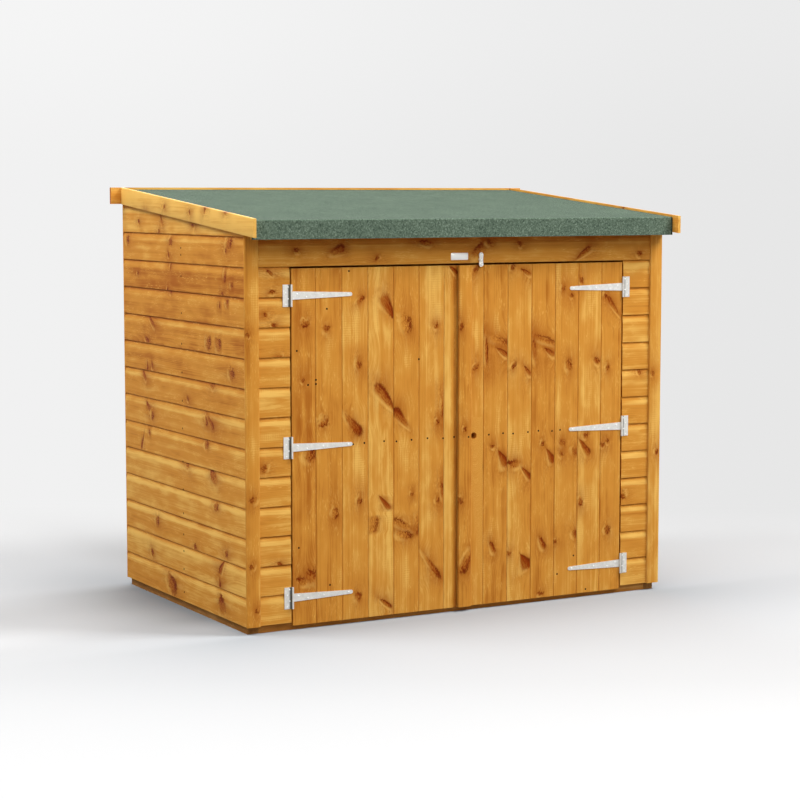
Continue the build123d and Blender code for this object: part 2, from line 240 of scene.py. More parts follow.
def make_pine_figure():
    """Node group: growth rings, streaks of stain and knots, from a place within a board."""
    tree = bpy.data.node_groups.new("pine_figure", "ShaderNodeTree")
    wanted = {"Grain": "Vector", "Board": "Float", "Tone": "Float", **dict.fromkeys(STAIN, "Color")}
    for name, kind in wanted.items():
        tree.interface.new_socket(name, in_out="INPUT", socket_type="NodeSocket" + kind)
    for name, kind in (("Color", "Color"), ("Height", "Float"), ("Gloss", "Float")):
        tree.interface.new_socket(name, in_out="OUTPUT", socket_type="NodeSocket" + kind)
    given = tree.nodes.new("NodeGroupInput").outputs
    result = tree.nodes.new("NodeGroupOutput").inputs

    pale, body, deep, knot_brown = (given[name] for name in STAIN)
    tone = Reading(tree, given["Tone"])
    along, across, depth = parts_of(tree, given["Grain"])
    draw_a, draw_b, draw_c = draws_from(tree, given["Board"])

    start = along + draw_a * 37.0
    wobble = stretched_noise(tree, start * 60.0, across * 90.0, depth * 60.0, detail=1.0) - 0.5
    fleck = stretched_noise(tree, start * 110.0, across * 230.0 + draw_c * 90.0, depth * 200.0)
    knots = [read_knot(tree, name, along, across, wobble, fleck) for name in KNOT_NAMES]
    bent = across
    for knot in knots:
        bent = bent - knot["step"] * knot["bulge"] * 0.75
    swirl = knots[0]["bulge"] + knots[1]["bulge"] + knots[2]["bulge"]

    pith_across = (draw_b - 0.5) * 0.16 + (stretched_noise(tree, start * 1.1, 3.0, draw_c * 9.0) - 0.5) * 0.05
    pith_depth = draw_c * 0.05 + 0.012 + (stretched_noise(tree, start * 0.9, 8.0, draw_b * 9.0) - 0.5) * 0.05
    ripple = (stretched_noise(tree, start * 3.0, bent * 30.0, depth * 30.0) - 0.5) * 0.004
    radius = distance(bent - pith_across, depth + pith_depth) + ripple
    rings = (radius / (draw_a * 0.0022 + 0.0034) + swirl * 1.1).math("FRACT")
    latewood = rings.between(0.35, 0.86) * rings.between(0.995, 0.9)

    drift = bent + draw_c * 11.0
    calm = across * 0.65 + bent * 0.35 + draw_c * 11.0
    broad = stretched_noise(tree, start * 0.55, calm * 40.0, depth * 20.0, detail=3.0)
    streak = stretched_noise(tree, start * 1.6, drift * 120.0, depth * 90.0)
    fibre = stretched_noise(tree, start * 22.0, drift * 900.0, depth * 900.0, detail=1.0)
    cloud = stretched_noise(tree, start * 4.0, across * 11.0, depth * 11.0)
    patch = stretched_noise(tree, start * 13.0, across * 34.0 + draw_b * 40.0, depth * 30.0, detail=1.0)
    torn = stretched_noise(tree, start * 46.0, drift * 430.0, depth * 400.0, detail=1.0)
    level = tone * 0.30 + 0.55 + (broad - 0.5) * 0.66 + (streak - 0.5) * 0.40
    level = level + (cloud - 0.5) * 0.62 + (patch - 0.5) * 0.40 + (fibre - 0.5) * 0.18 - latewood * 0.10
    chatter = (along * (math.tau / CUTTER_PITCH) + wobble * 3.0).math("SINE") * cloud.between(0.54, 0.70)
    level = level + chatter * patch.between(0.40, 0.60) * 0.05
    color = blended(tree, level.between(0.0, 0.52), deep, body)
    color = blended(tree, level.between(0.48, 1.0), color, pale)
    scuffs = torn.between(0.58, 0.68) * patch.between(0.46, 0.60)
    color = blended(tree, scuffs * 0.5, color, pale)

    height = stretched_noise(tree, start * 22.0, across * 700.0, depth * 700.0, detail=1.0)
    gloss = streak * 0.5
    halo_color = blended(tree, 0.5, deep, knot_brown)
    dark = blended(tree, 0.6, knot_brown, paint(84, 20, 0))
    rough = fleck - 0.5
    for knot in knots:
        reach, fade, facing = knot["reach"], knot["fade"], knot["facing"]
        mottle = (cloud - 0.5) * 1.2 + rough * 1.8 + (streak - 0.5) * 1.6 + facing * 0.2 + 0.85
        color = blended(tree, knot["halo"] * mottle.held() * 0.9, color, halo_color)
        heart = knot["fill"] + facing * 0.34 + (knot["figure"] - 0.5) * 0.9 + rough * knot["ragged"] * 1.2
        inner = blended(tree, heart.held(), body, knot_brown)
        inner = blended(tree, reach.between(0.62, 0.10) * knot["core"], inner, dark)
        inside = reach.between(1.25, 0.72) * fade
        color = blended(tree, inside * 0.94, color, inner)
        swept = reach.between(0.45, 1.00) * reach.between(1.9, 1.15) * fade
        bright = (facing * -0.9 + rough * 2.2 + knot["vigour"] * 0.3 - 0.35).held()
        color = blended(tree, swept * bright * 0.55, color, pale)
        rim = reach.between(0.35, 0.90) * reach.between(1.40, 0.98) * fade
        shaded = (facing * 1.1 + rough * 2.4 + knot["vigour"] * 0.4 - 0.30).held()
        color = blended(tree, rim * shaded * 0.9, color, dark)
        gloss = gloss + inside * 0.2
    for name, value in (("Color", color), ("Height", height), ("Gloss", gloss)):
        plug(tree, result[name], value)
    return tree


pine_figure = make_pine_figure()
END_GRAIN_TONE = -1.3


def new_material(name):
    """A material, its nodes and its shader."""
    material = bpy.data.materials.new(name)
    material.use_nodes = True
    return material, material.node_tree, material.node_tree.nodes["Principled BSDF"].inputs


def own_place(tree):
    """Where a point lies on its piece, in metres."""
    return tree.nodes.new("ShaderNodeTexCoord").outputs["Object"]


def raise_relief(tree, surface, height, strength, relief):
    """Small bumps of a surface, up to a height in metres."""
    bump = tree.nodes.new("ShaderNodeBump")
    for name, value in (("Strength", strength), ("Distance", relief), ("Height", height)):
        plug(tree, bump.inputs[name], value)
    tree.links.new(bump.outputs[0], surface["Normal"])


def timber(name, colors, grain=None, tone=0.0, board=0.0, roughness=0.56):
    """Timber material. Boards carry their own grain; a plain member names the axis it runs along."""
    material, tree, surface = new_material(name)
    figure = tree.nodes.new("ShaderNodeGroup")
    figure.node_tree = pine_figure
    for socket, color in colors.items():
        figure.inputs[socket].default_value = color
    if grain is None:
        for attribute, output in (("grain", "Vector"), ("board", "Fac"), ("tone", "Fac")):
            source = tree.nodes.new("ShaderNodeAttribute")
            source.attribute_name = attribute
            tree.links.new(source.outputs[output], figure.inputs[attribute.title()])
    else:
        axes = dict(zip("XYZ", parts_of(tree, own_place(tree))))
        turned = tree.nodes.new("ShaderNodeCombineXYZ")
        for socket, axis in zip(turned.inputs, {"X": "XZY", "Y": "YXZ", "Z": "ZXY"}[grain]):
            plug(tree, socket, axes[axis])
        tree.links.new(turned.outputs[0], figure.inputs["Grain"])
        figure.inputs["Board"].default_value = board
        figure.inputs["Tone"].default_value = tone
    plug(tree, surface["Base Color"], figure.outputs["Color"])
    plug(tree, surface["Roughness"], Reading(tree, figure.outputs["Gloss"]) * -0.16 + roughness)
    surface["Specular IOR Level"].default_value = 0.06
    raise_relief(tree, surface, figure.outputs["Height"], 0.6, 0.00022)
    return material


# Floor bearers and deck.
# Five sawn bearers with two end pieces lie on the ground, and tongued boards are nailed
# across them. Only their front and side edges show with the doors shut.
BEARER_BROWN = wood_colors((216, 158, 84), (188, 122, 54), (144, 84, 32), (98, 44, 12))
END_BEARER_BROWN = wood_colors((196, 148, 88), (160, 108, 54), (112, 68, 30), (84, 42, 18))


def finish_nodes(material, *nodes):
    """Puts a finish on nodes that keep their own shape."""
    for node in nodes:
        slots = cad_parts[node].data.materials
        slots.clear()
        slots.append(material)


bearer_timber = timber("bearer_timber", BEARER_BROWN, "X", board=3.0, roughness=0.75)
end_bearer_timber = timber("end_bearer_timber", END_BEARER_BROWN, "Y", board=5.0, roughness=0.75)
deck_timber = timber("deck_timber", STAIN, "Y", tone=0.7, board=8.0, roughness=0.66)
finish_nodes(bearer_timber, "floor_bearers")
finish_nodes(end_bearer_timber, "floor_end_bearers")
finish_nodes(deck_timber, "floor_deck")

# Wall and roof framing.
# Sawn 44 by 28 mm members nailed inside the cladding: rails, studs, posts, lintel and
# purlins, with the ledges and braces behind the doors in the same timber.
sawn_upright = timber("sawn_upright", STAIN, "Z", tone=0.25, board=11.0, roughness=0.78)
sawn_lengthwise = timber("sawn_lengthwise", STAIN, "X", tone=0.15, board=13.0, roughness=0.78)
sawn_crosswise = timber("sawn_crosswise", STAIN, "Y", tone=0.3, board=17.0, roughness=0.78)
finish_nodes(sawn_upright, "left_wall_studs", "right_wall_studs", "back_wall_studs", "front_posts")
finish_nodes(sawn_upright, "left_door_braces", "right_door_braces")
finish_nodes(sawn_lengthwise, "back_wall_rails", "front_top_rail", "door_lintel", "roof_purlins")
finish_nodes(sawn_lengthwise, "left_door_ledges", "right_door_ledges")
finish_nodes(sawn_crosswise, "left_wall_rails", "right_wall_rails")

# Shiplap walls.
# Planed boards, 12 mm thick, each covering 107 mm, with a scallop along its top that
# tucks behind the lip of the board above. They are nailed to the studs.
MM = 0.001
shiplap_cover = 107.0
board_thickness = 12.0
scallop_height = 33.0
scallop_depth = 5.5
lip_gap = 0.9
lip_arris = 1.1
back_arris = 0.4
tongue_length = 7.0
rebate_depth = 8.2
lap_slack = 0.3
stained_boards = timber("stained_boards", STAIN)
SAWN_END = -1
KNOT_GROUP = 60
NO_NEIGHBOUR = 1000
KNOT_LENGTHS = ("along", "across", "half_length", "half_width", "room")
bark_width = 3.5


def box_mm(node):
    """Lowest and highest corner of a node of the frame, in millimetres."""
    return [[value / MM for value in corner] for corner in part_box(node)]


def start_boards():
    """Empty lists that boards are added to before they become one mesh."""
    return {"corners": [], "grain": [], "faces": [], "board": [], "tone": [], "knots": []}


def face_knots(pool, low, high, ends):
    """The knots that shade a length of board, three at most, each with its room to the next length."""
    inside = [knot for knot in pool if low <= knot["along"] < high]
    chosen = []
    for knot in sorted(inside, key=lambda knot: -knot["half_length"])[: len(KNOT_NAMES)]:
        gaps = [abs(knot["along"] - edge) for edge in (low, high) if edge not in ends]
        chosen.append({**knot, "room": min(gaps, default=NO_NEIGHBOUR)})
    return chosen


def cut_lengths(low, high, pool):
    """Splits a board's length midway between its groups of knots."""
    groups = []
    for place in sorted(knot["along"] for knot in pool):
        if groups and place - groups[-1][0] < KNOT_GROUP and len(groups[-1]) < len(KNOT_NAMES):
            groups[-1].append(place)
        else:
            groups.append([place])
    cuts = [(group[-1] + following[0]) / 2 for group, following in zip(groups, groups[1:])]
    return [low, *[cut for cut in cuts if low < cut < high], high]


def split_board(solid, point, normal, parts=None, **ways):
    """Splits a board along a plane, or only some of its parts, and gives what lies on the cut."""
    parts = parts or solid.verts[:] + solid.edges[:] + solid.faces[:]
    return bmesh.ops.bisect_plane(solid, geom=parts, plane_co=point, plane_no=normal, **ways)["geom_cut"]


def notch_board(solid, back, under):
    """Takes out the part of a board that is both behind and above a fascia's lower inner edge."""
    split_board(solid, (0, back, 0), (0, 1, 0))
    behind = [face for face in solid.faces if face.calc_center_median().y > back - 1e-6]
    parts = list(dict.fromkeys(part for face in behind for part in (*face.verts, *face.edges, face)))
    split_board(solid, (0, 0, under), (0, 0, 1), parts)
    middles = [(face, face.calc_center_median()) for face in solid.faces]
    gone = [face for face, middle in middles if middle.y > back and middle.z > under]
    if not gone:
        return []
    bmesh.ops.delete(solid, geom=gone, context="FACES")
    rim = [edge for edge in solid.edges if edge.is_boundary]
    ends = dict.fromkeys(vert for edge in rim for vert in edge.verts)
    corners = [vert for vert in ends if abs(vert.co.y - back) + abs(vert.co.z - under) < 1e-5]
    rim.append(solid.edges.new(corners))
    return bmesh.ops.edgenet_fill(solid, edges=rim)["faces"]


def lay_board(
    mesh, section, low, high, place, seed, tone, knots, shades=None, cut=None, notch=None, end_tone=None
):
    """Sweeps a section of (across, depth) points along the grain, in millimetres.

    place turns (along, across, depth) into a point; shades raises or lowers the tone of
    some sides of the section, as painted light and shade on them; cut is a plane that the
    board is sawn off at; notch is the lower inner edge of a fascia let into its end.
    """
    shades = shades or {}
    end_tone = tone + END_GRAIN_TONE if end_tone is None else end_tone
    solid = bmesh.new()
    stations = cut_lengths(low, high, knots)
    rows = []
    for along in stations:
        points = (Vector(place(along, across, depth)) * MM for across, depth in section)
        rows.append([solid.verts.new(point) for point in points])
    stretch = solid.faces.layers.int.new("stretch")
    side_of = solid.faces.layers.int.new("side")
    for index, (row, ahead) in enumerate(zip(rows, rows[1:])):
        for side, after in enumerate((*range(1, len(section)), 0)):
            face = solid.faces.new((row[side], row[after], ahead[after], ahead[side]))
            face[stretch] = index
            face[side_of] = side
    for row, index in ((rows[0], 0), (rows[-1], len(rows) - 2)):
        face = solid.faces.new(row)
        face[stretch] = index
        face[side_of] = SAWN_END
    if cut is not None:
        point, normal = cut
        made = split_board(solid, Vector(point) * MM, normal, clear_outer=True)
        rim = [item for item in made if isinstance(item, bmesh.types.BMEdge)]
        for face in bmesh.ops.holes_fill(solid, edges=rim, sides=0)["faces"]:
            face[side_of] = SAWN_END
    if notch is not None:
        for face in notch_board(solid, *notch):
            face[side_of] = SAWN_END
            face[stretch] = len(rows) - 2
    bmesh.ops.recalc_face_normals(solid, faces=solid.faces)
    origin = Vector(place(0, 0, 0))
    axes = [Vector(place(*step)) - origin for step in ((1, 0, 0), (0, 1, 0), (0, 0, 1))]
    first = len(mesh["corners"])
    solid.verts.index_update()
    for vert in solid.verts:
        offset = vert.co / MM - origin
        mesh["corners"].append(vert.co.copy())
        mesh["grain"].append([offset.dot(axis) / axis.length_squared * MM for axis in axes])
    for face in solid.faces:
        index = face[stretch]
        mesh["faces"].append([first + vert.index for vert in face.verts])
        mesh["board"].append(seed)
        sawn = face[side_of] == SAWN_END
        mesh["tone"].append(end_tone if sawn else tone + shades.get(face[side_of], 0.0))
        mesh["knots"].append(face_knots(knots, stations[index], stations[index + 1], (low, high)))
    solid.free()


def add_piece(name, corners, faces, material, body, slot, crease=50):
    """Makes a piece that rides on a body, smooth where it turns by less than the crease."""
    data = bpy.data.meshes.new(name)
    data.from_pydata(corners, [], faces)
    data.polygons.foreach_set("use_smooth", [True] * len(faces))
    data.set_sharp_from_angle(angle=math.radians(crease))
    data.materials.append(material)
    piece = bpy.data.objects.new(name, data)
    bpy.context.scene.collection.objects.link(piece)
    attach(piece, body)
    return piece


def finish_boards(name, mesh, material, body, slot, node):
    """Makes one piece of all the boards laid so far, in place of a node."""
    piece = add_piece(name, mesh["corners"], mesh["faces"], material, body, slot, 28)
    attributes = piece.data.attributes
    grain = [value for point in mesh["grain"] for value in point]
    attributes.new("grain", "FLOAT_VECTOR", "POINT").data.foreach_set("vector", grain)
    for attribute in ("board", "tone"):
        attributes.new(attribute, "FLOAT", "FACE").data.foreach_set("value", mesh[attribute])
    for index, knot_name in enumerate(KNOT_NAMES):
        shown = [knots[index] if index < len(knots) else {} for knots in mesh["knots"]]
        for suffix, measures in KNOT_PARTS.items():
            values = [
                knot.get(measure, 0) * (MM if measure in KNOT_LENGTHS else 1)
                for knot in shown for measure in measures
            ]
            attributes.new(knot_name + suffix, "FLOAT_VECTOR", "FACE").data.foreach_set("vector", values)
    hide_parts(node)
    return piece


def scallop_points(start, steps):
    """The scallop's hollow, from the face of a board down to its shoulder."""
    radius = (scallop_height ** 2 + scallop_depth ** 2) / (2 * scallop_depth)
    sweep = math.asin(scallop_height / radius)
    turns = [sweep * step / steps for step in range(steps + 1)]
    bottom = board_thickness - radius
    return [(start + radius * math.sin(turn), bottom + radius * math.cos(turn)) for turn in turns]


def shiplap_section():
    """Section of a shiplap board: (across, depth), with its back on depth 0."""
    shoulder = board_thickness - scallop_depth
    lap = shoulder + lap_slack
    top = shiplap_cover + tongue_length
    return [
        (lip_gap, lap), (lip_gap, board_thickness - lip_arris), (lip_gap + lip_arris, board_thickness),
        *scallop_points(shiplap_cover - scallop_height, 7),
        (top, shoulder), (top, back_arris), (rebate_depth, 0.0), (rebate_depth, lap),
    ]


# Painted light and shade: the scallop's lower sides, which face a little upwards, are painted paler as if lit
# from above, and its top sides under the lip are painted darker as shade.
SCALLOP_SHADES = {3: 0.35, 4: 0.75, 5: 0.9, 6: 0.7, 7: 0.3, 8: -0.3, 9: -0.8}


def knot_fill(length, taper):
    """How dark a knot's heart is: a broad spike is dark all through and a long oval stays pale."""
    if taper:
        return 0.52 + abs(taper) * 0.5
    return 0.34 if length > 45 else 0.60


def knots_within(marks, low, high, middle, stain=0.9):
    """Knots of a wall or door whose middles lie on one board, in that board's own measure.

    A mark is (across, along, across, along, width): the two ends of the hard core and its
    width, with a ring of bark round it. A spike, which was sawn lengthwise, has no bark,
    and its mark ends with its taper, how much wider the second end is.
    """
    found = []
    for across_a, along_a, across_b, along_b, width, *spike in marks:
        taper = spike[0] if spike else 0.0
        if along_b < along_a:
            across_a, along_a, across_b, along_b, taper = across_b, along_b, across_a, along_a, -taper
        across = (across_a + across_b) / 2
        length = math.hypot(across_b - across_a, along_b - along_a)
        bark = 0.0 if taper else bark_width
        if low <= across < high:
            found.append(
                {
                    "along": (along_a + along_b) / 2,
                    "across": across - middle,
                    "slant": math.atan2(across_b - across_a, along_b - along_a),
                    "half_length": length / 2 + bark,
                    "half_width": width / 2 + bark * 0.8,
                    "taper": taper,
                    "fill": knot_fill(length, taper),
                    "stain": stain,
                }
            )
    return found


def scattered_knots(low, high, half_cover, middle=0.0):
    """Small knots strewn along a board on a side that the eye rarely rests on."""
    spacing = 330
    found = []
    along = low + chance.uniform(40, spacing)
    while along < high - 30:
        length = chance.uniform(5, 17)
        found.append(
            {
                "along": along,
                "across": chance.uniform(-0.7, 0.7) * half_cover + middle,
                "slant": chance.choice((0.0, 0.5, -0.5, 1.1)) + chance.uniform(-0.2, 0.2),
                "half_length": length,
                "half_width": length * chance.uniform(0.35, 0.8),
                "taper": chance.uniform(-0.5, 0.7),
                "fill": chance.uniform(0.4, 0.8),
                "stain": 0.8,
            }
        )
        along += chance.uniform(0.5, 1.5) * spacing
    return found


def roof_height(y):
    """Underside of the roof deck, in millimetres."""
    return deck_front_z + (y - deck_front_y) * roof_slope


deck_corners = [vert.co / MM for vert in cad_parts["roof_deck"].data.vertices]
deck_front_y = min(corner.y for corner in deck_corners)
deck_front_z = min(corner.z for corner in deck_corners)
deck_back_y = max(corner.y for corner in deck_corners)
deck_back_z = min(corner.z for corner in deck_corners if corner.y > deck_back_y - 1)
roof_slope = (deck_back_z - deck_front_z) / (deck_back_y - deck_front_y)
roof_plane = ((0, deck_front_y, deck_front_z), (0, -roof_slope, 1))

LEFT_WALL_KNOTS = [
    # up, along, up, along, width and a spike's taper; from the top board down
    (1466, 403, 1456, 401, 12), (1484, 178, 1446, 166, 12, 0.2), (1433, 202, 1425, 200, 10),
    (1455, -120, 1449, -136, 9),
    (1400, 526, 1374, 524, 28), (1404, 91, 1382, 90, 26), (1412, -435, 1380, -437, 46),
    (1352, 112, 1328, 106, 10, 0.5), (1304, 96, 1290, 94, 9), (1372, -409, 1362, -411, 11),
    (1264, 420, 1254, 418, 11), (1292, -398, 1260, -402, 16), (1254, -458, 1238, -462, 18),
    (1218, 125, 1208, 123, 10), (1203, 97, 1190, 94, 10), (1212, -380, 1204, -384, 10),
    (1182, -353, 1160, -354, 13, 0.2), (1192, -414, 1172, -420, 18),
    (1093, 312, 1056, 254, 17, 0.4), (1014, 352, 990, 318, 24, 0.4),
    (1044, -240, 1012, -262, 46), (1040, -330, 1010, -352, 46),
    (922, 334, 888, 330, 13, 0.5), (922, 284, 890, 278, 13, 0.5), (942, -451, 912, -452, 40),
    (878, 378, 840, 344, 16, 0.4), (878, -276, 864, -296, 20), (808, -60, 796, -66, 9),
    (760, 344, 726, 304, 18, 0.6), (722, 292, 700, 286, 20),
    (762, -222, 724, -234, 16, 0.3), (758, -238, 718, -294, 18, 0.4), (662, -222, 640, -230, 30),
    (646, 324, 634, 318, 14), (628, 372, 570, 398, 14, 0.5), (568, -36, 540, -54, 18),
    (560, -262, 512, -324, 38, 0.2), (440, -300, 424, -320, 28),
    (316, 256, 288, 244, 30), (256, -110, 244, -120, 20), (282, -392, 264, -400, 20),
    (180, 310, 160, 300, 18), (238, -376, 190, -340, 22, 0.5), (170, -326, 142, -344, 18, 0.3),
    (96, 160, 54, 70, 60, 0.2), (104, -340, 36, -372, 52, 0.3),
]
LEFT_WALL_TONES = [0.2, 0.55, 0.3, 0.5, 0.3, 0.1, 0.1, -0.15, -0.35, -0.5, -0.45, -0.85, -0.2, 0.55, 0.6]

chance = random.Random(41)
fascia_edge = (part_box("back_fascia")[0].y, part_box("back_fascia")[0].z)
FACING = {"left": (0, -1), "right": (0, 1), "front": (1, -1), "back": (1, 1)}


def shiplap_wall(
    name, node, facing, seed, tones=None, marks=None, cut=None, notch=None, shades=SCALLOP_SHADES
):
    """Shiplap boards one above the other in place of a node, from its foot to its top."""
    low, high = box_mm(node)
    axis, side = FACING[facing]
    inner = low[axis] if side > 0 else high[axis]
    start, end = low[1 - axis], high[1 - axis]
    mesh = start_boards()
    section = shiplap_section()
    for index in range(math.ceil((high[2] - low[2]) / shiplap_cover - 0.01)):
        foot = low[2] + index * shiplap_cover

        def place(along, across, depth):
            point = [along, along, foot + across]
            point[axis] = inner + side * depth
            return point

        if marks is None:
            knots = scattered_knots(start, end, shiplap_cover / 2, shiplap_cover / 2)
        else:
            knots = knots_within(marks, foot, foot + shiplap_cover, foot, 1.0)
        tone = tones[index] if tones else chance.uniform(-0.5, 0.5)
        trimmed = section
        if cut is None and foot + shiplap_cover + tongue_length > high[2]:
            trimmed = [(min(across, high[2] - foot), depth) for across, depth in section]
            trimmed = [point for number, point in enumerate(trimmed) if point != trimmed[number - 1]]
        lay_board(mesh, trimmed, start, end, place, seed + index, tone, knots, shades, cut, notch)
    finish_boards(f"{name}_shiplap", mesh, stained_boards, "shed", "shiplap_cladding", node)


shiplap_wall(
    "left_wall", "left_wall_cladding", "left", 100, LEFT_WALL_TONES, LEFT_WALL_KNOTS, roof_plane, fascia_edge
)
shiplap_wall("right_wall", "right_wall_cladding", "right", 200, cut=roof_plane, notch=fascia_edge)
shiplap_wall("back_wall", "back_wall_cladding", "back", 300)

# Front cladding.
# The same shiplap closes the front: short boards at each side of the doorway and a
# header over it, under the felt's turned-down edge.
FRONT_STRIP_KNOTS = {
    "left": [(1302, -812, 1280, -788, 12, 0.3), (1150, -810, 1142, -822, 11),
             (1112, -800, 1102, -782, 14, 0.3), (1228, -790, 1214, -800, 14),
             (1000, -760, 985, -764, 12), (606, -820, 590, -826, 18),
             (250, -774, 238, -770, 12)],
    "right": [(402, 738, 380, 732, 22), (880, 800, 866, 806, 12)],
}
HEADER_KNOTS = [
    (1352, -562, 1378, -504, 30, 0.3), (1330, -374, 1346, -360, 14, 0.3), (1393, -192, 1384, -146, 20, 0.2),
    (1330, 36, 1384, 78, 26, -0.3), (1392, 96, 1384, 112, 16), (1390, 236, 1370, 252, 16, 0.2),
    (1322, 506, 1364, 568, 20, 0.4), (1340, 790, 1330, 800, 16), (1370, -700, 1362, -690, 12),
]
# Painted shade: the header boards' scallops are painted 0.9 darker, for the shade under each lip and under
# the felt's turned-down edge.
HEADER_SHADES = dict.fromkeys(range(3, 10), -0.9)
shiplap_wall(
    "header", "front_header_cladding", "front", 400, [0.0, -0.2], HEADER_KNOTS, roof_plane,
    shades=HEADER_SHADES,
)
for side, seed in (("left", 420), ("right", 440)):
    tones = [chance.uniform(-0.1, 0.5) for _ in range(13)]
    shiplap_wall(f"{side}_strip", f"front_{side}_cladding", "front", seed, tones, FRONT_STRIP_KNOTS[side])

# Planed edge boards.
# Corner trims, bargeboards and fascias are planed timber with eased arrises, nailed over
# the ends of the cladding and round the roof.
planed_boards = timber("planed_boards", STAIN, roughness=0.52)


def eased_section(width, thickness, ease, steps=3):
    """Rectangular section with its two outer arrises rounded."""
    turns = [math.pi / 2 * step / steps for step in range(steps + 1)]
    arris = [(ease * (1 - math.cos(turn)), thickness - ease * (1 - math.sin(turn))) for turn in turns]
    far_arris = [(width - across, depth) for across, depth in reversed(arris)]
    return [(0.0, 0.0), *arris, *far_arris, (width, 0.0)]


trim_width = 55.0
trim_ease = 3.5
TRIM_KNOTS = [
    [(874, 494, 874, 474, 22), (880, 252, 880, 238, 14), (860, 90, 860, 78, 12),
     (892, 1076, 892, 1066, 9)],
    [(862, 868, 862, 856, 10), (884, 560, 884, 548, 12)],
]


def corner_boards(name, node, facing, top, seed, tones, knots, cut=None):
    """A pair of upright trims in place of a node, one at each side of the building."""
    low, high = box_mm(node)
    inner = high[1] if facing < 0 else low[1]
    section = eased_section(trim_width, high[1] - low[1], trim_ease)
    mesh = start_boards()
    for side, tone, held in zip((-1, 1), tones, knots):

        def place(along, across, depth):
            return side * (high[0] - trim_width + across), inner + facing * depth, along

        lay_board(mesh, section, low[2], top, place, seed + side, tone, held, cut=cut)
    finish_boards(name, mesh, planed_boards, "shed", "planed_trim", node)


low, high = box_mm("front_corner_trims")
front_knots = [knots_within(marks, 0, 2000, high[0] - trim_width) for marks in TRIM_KNOTS]
over_deck = roof_height(low[1]) + 6
corner_boards(
    "front_corner_boards", "front_corner_trims", -1, over_deck, 500, (0.05, 0.35), front_knots, roof_plane
)
low, high = box_mm("back_corner_trims")
back_knots = [scattered_knots(low[2], high[2], 20) for _ in range(2)]
corner_boards("back_corner_boards", "back_corner_trims", 1, high[2], 510, (0.1, 0.1), back_knots)

BARGE_KNOTS = {
    -1: [(14, 300, 24, 306, 9), (26, -255, 40, -262, 12), (18, -120, 26, -116, 7),
         (40, 120, 46, 124, 8), (20, -430, 28, -436, 8)],
    1: [(30, 200, 40, 206, 12), (26, -300, 34, -306, 9)],
}


def planed_board(node, body, section, low, high, place, seed, tone, knots, end_tone=None):
    """One planed board that is a piece of its own, in place of its node."""
    mesh = start_boards()
    lay_board(mesh, section, low, high, place, seed, tone, knots, end_tone=end_tone)
    finish_boards(f"{node}_planed", mesh, planed_boards, body, "planed_trim", node)


for side, name in ((-1, "left_bargeboard"), (1, "right_bargeboard")):
    low, high = box_mm(name)
    inner = min(abs(low[0]), abs(high[0]))
    plumb_width = high[2] - low[2] - (high[1] - low[1]) * roof_slope
    planed_board(
        name, "shed", eased_section(plumb_width, high[0] - low[0], 1.5, steps=2), low[1], high[1],
        lambda along, across, depth: (
            side * (inner + depth), along, low[2] + (along - low[1]) * roof_slope + across
        ),
        520 + side, 1.5 if side < 0 else 0.5, knots_within(BARGE_KNOTS[side], 0, 100, 0), 1.1,
    )

low, high = box_mm("back_fascia")
planed_board(
    "back_fascia", "shed", eased_section(high[2] - low[2], high[1] - low[1], 1.5, steps=2), low[0], high[0],
    lambda along, across, depth: (along, low[1] + depth, low[2] + across),
    530, 0.5, scattered_knots(low[0], high[0], 25), -2.2,
)
finish_nodes(sawn_lengthwise, "front_fascia")

# Double doors.
# Each leaf is a row of V-jointed boards clenched to three ledges. The left leaf's closing
# board keeps its scallop; the right leaf carries the strip that covers the meeting line.
vee = 2.5
leaf_arris = 0.8
joint_gap = 0.5
leaf_tongue = 4.0
groove_slack = 0.8
closing_width = 83.5
meeting_half = 3.0
strip_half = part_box("cover_strip")[1].x / MM


def vee_section(width, left_vee=True, right_vee=True):
    """Section of a door board, centred across, with a chamfer at each jointed edge."""
    half = width / 2 - joint_gap / 2
    left = vee if left_vee else leaf_arris
    right = vee if right_vee else leaf_arris
    tongue = half + leaf_tongue
    groove = -half + leaf_tongue + groove_slack
    section = [(-half, 0.0)]
    if left_vee:
        section += [(-half, 3.6), (groove, 3.8), (groove, 8.2), (-half, 8.4)]
    section += [(-half, board_thickness - left), (-half + left, board_thickness)]
    section += [(half - right, board_thickness), (half, board_thickness - right)]
    if right_vee:
        section += [(half, 8.0), (tongue, 7.6), (tongue, 4.4), (half, 4.0)]
    return [*section, (half, 0.0)]


def closing_section(width):
    """Left leaf's closing board: a V joint on one side and a scallop down the other."""
    half = width / 2
    foot = half + meeting_half - strip_half
    section = vee_section(width, True, False)[:-3]
    section += scallop_points(foot - scallop_height, 8)
    return section + [(half, board_thickness - scallop_depth), (half, 0.0)]
